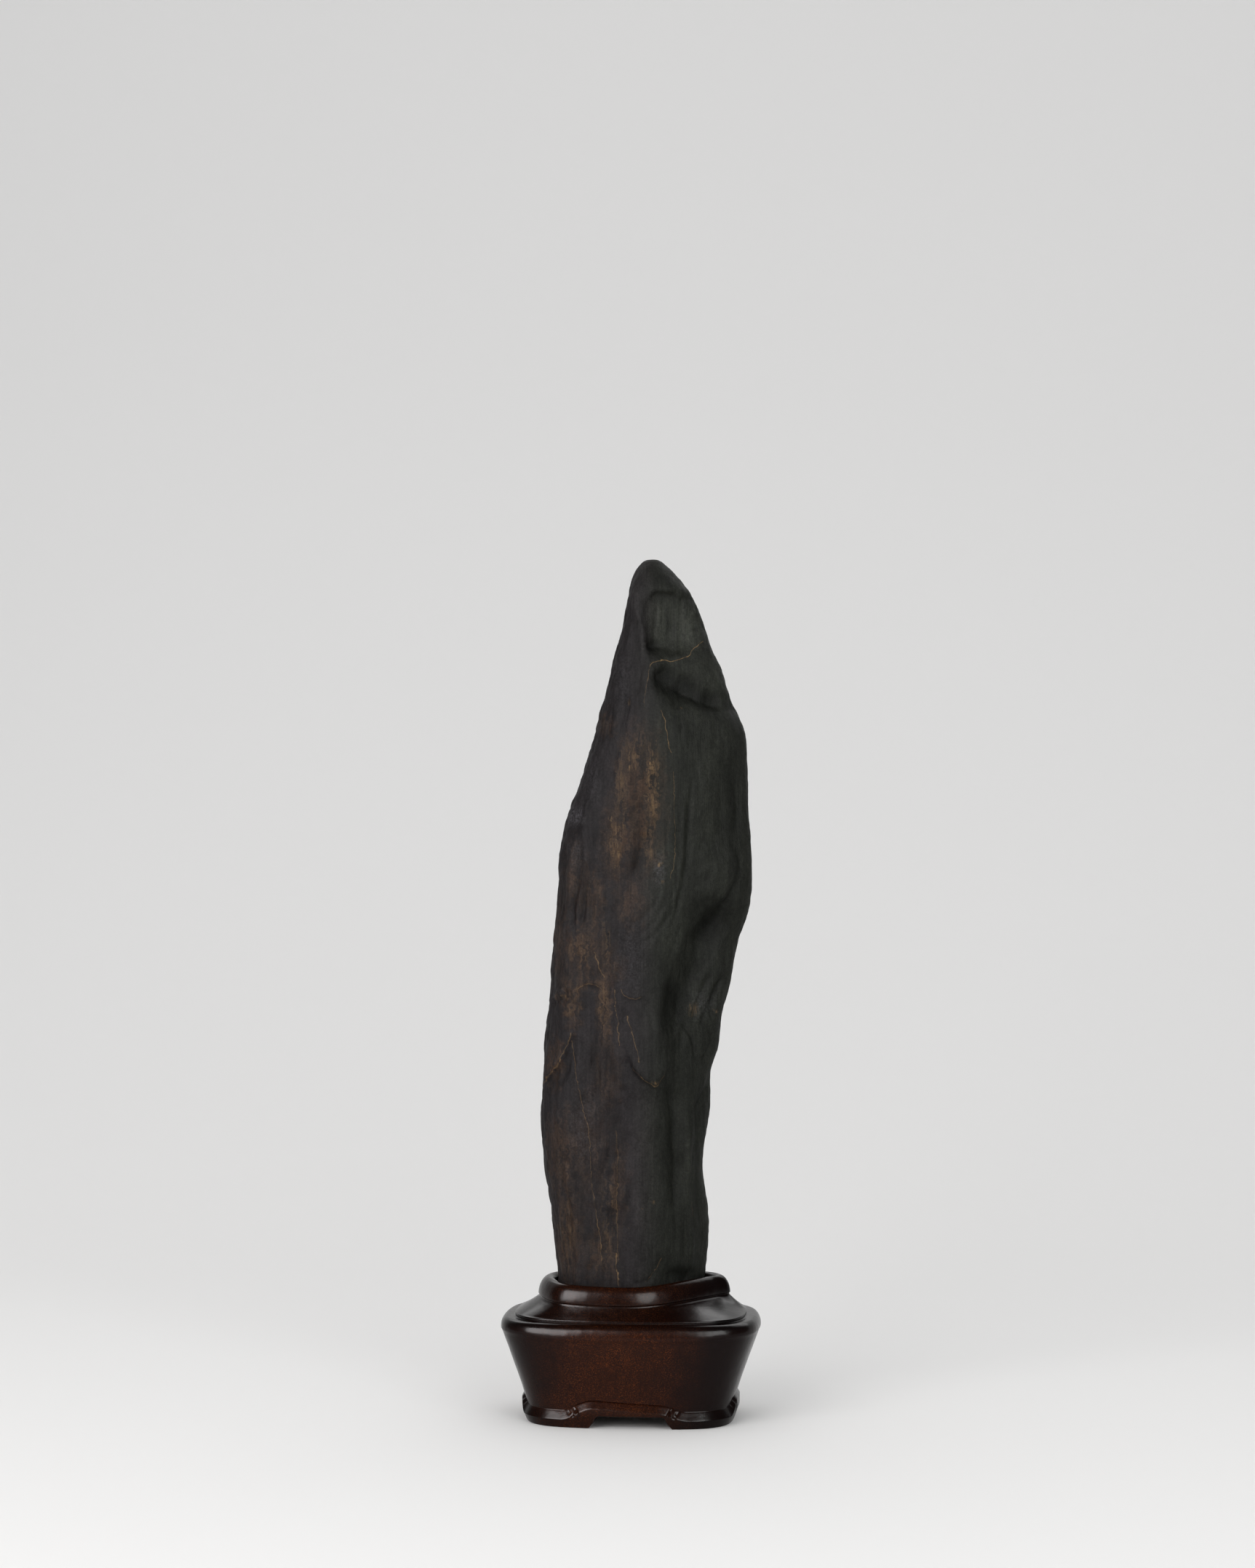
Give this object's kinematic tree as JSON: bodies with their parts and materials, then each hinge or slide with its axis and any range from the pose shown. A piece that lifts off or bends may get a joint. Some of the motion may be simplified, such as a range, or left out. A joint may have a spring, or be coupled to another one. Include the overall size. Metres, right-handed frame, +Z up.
{
  "type": "scholars rock on stand",
  "caption": "Tall leaning dark stone with carved-looking hollows, standing in the fitted collar of a footed hardwood stand; a display ornament.",
  "frame": {"origin": "middle of the object's box at the surface the stand's feet rest on", "axes": "+Z up; -Y towards the viewer, the stone's displayed face; +X to the viewer's right"},
  "size_m": [0.1072, 0.07, 0.354],
  "materials": {
    "stone": "dense dark limestone, water-worn and hand-waxed to a satin, with brown patches and cream calcite veins",
    "stained_hardwood": "fine-grained hardwood stained dark reddish brown, rubbed lacquer with a soft gloss"
  },
  "bodies": {
    "root": {"rock": "stone", "wood_stand": "stained_hardwood"}
  },
  "joints": []
}
